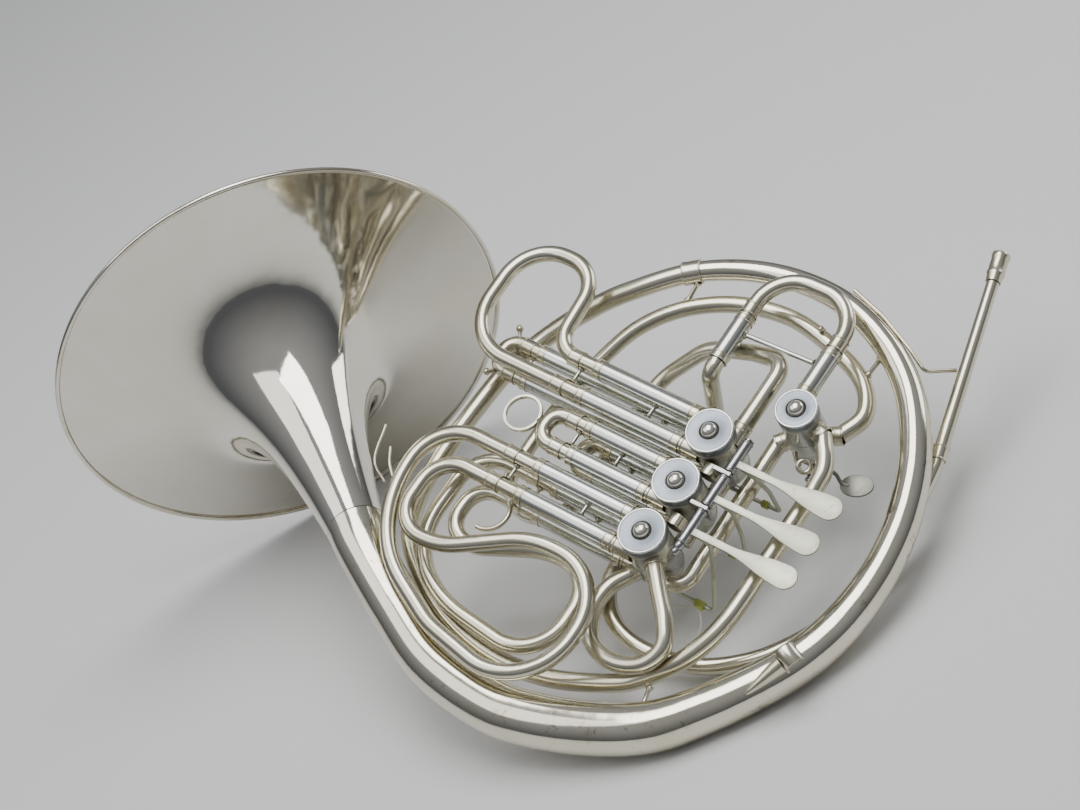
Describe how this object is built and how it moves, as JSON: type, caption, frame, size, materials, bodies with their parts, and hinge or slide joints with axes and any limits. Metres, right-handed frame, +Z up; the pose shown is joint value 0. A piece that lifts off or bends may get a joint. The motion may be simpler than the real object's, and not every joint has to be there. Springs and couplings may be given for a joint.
{
  "type": "french horn",
  "caption": "Double french horn: flared bell, coiled tubing, rotary valves with string linkage, finger and thumb levers, and pull-out tuning slides.",
  "frame": {"origin": "middle of the bounding box, on the surface the horn lies on", "axes": "+Z up with the horn lying at rest, valve caps upwards and bell rim on the surface; +X roughly along the valve slides, from the bell towards the finger levers"},
  "size_m": [0.5134, 0.4994, 0.2993],
  "materials": {
    "nickel_silver_tube": "polished nickel silver, slightly warm",
    "nickel_silver_bell": "mirror-polished nickel silver",
    "valve_nickel": "satin nickel",
    "lever_satin": "satin nickel silver",
    "linkage_steel": "polished steel",
    "rotor_brass": "machined brass",
    "linkage_cord": "braided cord"
  },
  "bodies": {
    "corpus": {"b_flat_sleeves_1": "nickel_silver_tube", "b_flat_sleeves_2": "nickel_silver_tube", "b_flat_sleeves_3": "nickel_silver_tube", "bell_branch": "nickel_silver_bell", "bell_flare": "nickel_silver_bell", "bell_rim_wire": "nickel_silver_bell", "bell_tail": "nickel_silver_tube", "branch_ferrule": "nickel_silver_tube", "f_sleeves_1": "nickel_silver_tube", "f_sleeves_2": "nickel_silver_tube", "f_sleeves_3": "nickel_silver_tube", "finger_hook": "nickel_silver_tube", "knuckle_b_flat_1_2": "nickel_silver_tube", "knuckle_b_flat_2_3": "nickel_silver_tube", "knuckle_f_1_2": "nickel_silver_tube", "knuckle_f_2_3": "nickel_silver_tube", "leadpipe": "nickel_silver_tube", "leadpipe_brace": "nickel_silver_tube", "leadpipe_branch": "nickel_silver_tube", "lever_rod": "linkage_steel", "main_tuning_sleeves": "nickel_silver_tube", "mouthpiece_receiver": "nickel_silver_tube", "thumb_lever_rod": "linkage_steel", "top_inner_loop": "nickel_silver_tube", "tuning_crook": "nickel_silver_tube", "valve_1_return_tube": "nickel_silver_tube", "valve_3_feed_tube": "nickel_silver_tube", "valve_3_loop": "nickel_silver_tube", "valve_cap_1": "valve_nickel", "valve_cap_2": "valve_nickel", "valve_cap_3": "valve_nickel", "valve_cap_4": "valve_nickel", "valve_casing_1": "valve_nickel", "valve_casing_2": "valve_nickel", "valve_casing_3": "valve_nickel", "valve_casing_4": "valve_nickel"},
    "main_tuning": {"main_tuning_slide": "nickel_silver_tube"},
    "f_tuning_1": {"f_slide_1": "nickel_silver_tube"},
    "f_tuning_2": {"f_slide_2": "nickel_silver_tube", "f_pull_ring_2": "nickel_silver_tube"},
    "f_tuning_3": {"f_slide_3": "nickel_silver_tube"},
    "b_flat_tuning_1": {"b_flat_slide_1": "nickel_silver_tube"},
    "b_flat_tuning_2": {"b_flat_slide_2": "nickel_silver_tube"},
    "b_flat_tuning_3": {"b_flat_slide_3": "nickel_silver_tube"},
    "key_1": {"lever_1": "lever_satin", "linkage_cord_1": "linkage_cord"},
    "key_2": {"lever_2": "lever_satin", "linkage_cord_2": "linkage_cord"},
    "key_3": {"lever_3": "lever_satin", "linkage_cord_3": "linkage_cord"},
    "key_4": {"thumb_lever": "lever_satin", "linkage_cord_4": "linkage_cord"},
    "valve_1": {"rotor_1": "rotor_brass", "stop_arm_1": "linkage_steel"},
    "valve_2": {"rotor_2": "rotor_brass", "stop_arm_2": "linkage_steel"},
    "valve_3": {"rotor_3": "rotor_brass", "stop_arm_3": "linkage_steel"},
    "valve_4": {"rotor_4": "rotor_brass", "stop_arm_4": "linkage_steel"}
  },
  "joints": [
    {"name": "main_tuning_slide", "type": "slide", "parent": "corpus", "child": "main_tuning", "axis": [-0.1766, 0.9583, 0.2245], "range_m": [0, 0.02]},
    {"name": "f_slide_1", "type": "slide", "parent": "corpus", "child": "f_tuning_1", "axis": [-0.9045, -0.248, 0.347], "range_m": [0, 0.035]},
    {"name": "f_slide_2", "type": "slide", "parent": "corpus", "child": "f_tuning_2", "axis": [-0.9045, -0.248, 0.347], "range_m": [0, 0.035]},
    {"name": "f_slide_3", "type": "slide", "parent": "corpus", "child": "f_tuning_3", "axis": [-0.9045, -0.248, 0.347], "range_m": [0, 0.01]},
    {"name": "b_flat_slide_1", "type": "slide", "parent": "corpus", "child": "b_flat_tuning_1", "axis": [-0.9045, -0.248, 0.347], "range_m": [0, 0.04]},
    {"name": "b_flat_slide_2", "type": "slide", "parent": "corpus", "child": "b_flat_tuning_2", "axis": [-0.9045, -0.248, 0.347], "range_m": [0, 0.03]},
    {"name": "b_flat_slide_3", "type": "slide", "parent": "corpus", "child": "b_flat_tuning_3", "axis": [-0.9045, -0.248, 0.347], "range_m": [0, 0.01]},
    {"name": "lever_1_hinge", "type": "hinge", "parent": "corpus", "child": "key_1", "pos_m": [0.14613, 0.02629, 0.08907], "axis": [-0.1766, 0.9583, 0.2245], "range_deg": [0, 8], "stiffness_Nm_per_rad": 0.15, "springref_deg": -11.46},
    {"name": "lever_2_hinge", "type": "hinge", "parent": "corpus", "child": "key_2", "pos_m": [0.15064, 0.00186, 0.08335], "axis": [-0.1766, 0.9583, 0.2245], "range_deg": [0, 8], "stiffness_Nm_per_rad": 0.15, "springref_deg": -11.46},
    {"name": "lever_3_hinge", "type": "hinge", "parent": "corpus", "child": "key_3", "pos_m": [0.15496, -0.02162, 0.07785], "axis": [-0.1766, 0.9583, 0.2245], "range_deg": [0, 8], "stiffness_Nm_per_rad": 0.15, "springref_deg": -11.46},
    {"name": "thumb_lever_hinge", "type": "hinge", "parent": "corpus", "child": "key_4", "pos_m": [0.15948, 0.0666, 0.05671], "axis": [0.1766, -0.9583, -0.2245], "range_deg": [0, 18], "stiffness_Nm_per_rad": 0.06, "springref_deg": -17.19},
    {"name": "rotor_1_turn", "type": "hinge", "parent": "corpus", "child": "valve_1", "pos_m": [0.11182, 0.03401, 0.07635], "axis": [-0.3882, 0.1418, -0.9106], "range_deg": [0, 90]},
    {"name": "rotor_2_turn", "type": "hinge", "parent": "corpus", "child": "valve_2", "pos_m": [0.11847, -0.00202, 0.0679], "axis": [-0.3882, 0.1418, -0.9106], "range_deg": [0, 90]},
    {"name": "rotor_3_turn", "type": "hinge", "parent": "corpus", "child": "valve_3", "pos_m": [0.12511, -0.03806, 0.05946], "axis": [-0.3882, 0.1418, -0.9106], "range_deg": [0, 90]},
    {"name": "rotor_4_turn", "type": "hinge", "parent": "corpus", "child": "valve_4", "pos_m": [0.14179, 0.07867, 0.07052], "axis": [0.3882, -0.1418, 0.9106], "range_deg": [0, 90]}
  ],
  "couplings": [
    {"joint": "rotor_1_turn", "follows": "lever_1_hinge", "ratio": 11.25},
    {"joint": "rotor_2_turn", "follows": "lever_2_hinge", "ratio": 11.25},
    {"joint": "rotor_3_turn", "follows": "lever_3_hinge", "ratio": 11.25},
    {"joint": "rotor_4_turn", "follows": "thumb_lever_hinge", "ratio": 5}
  ]
}
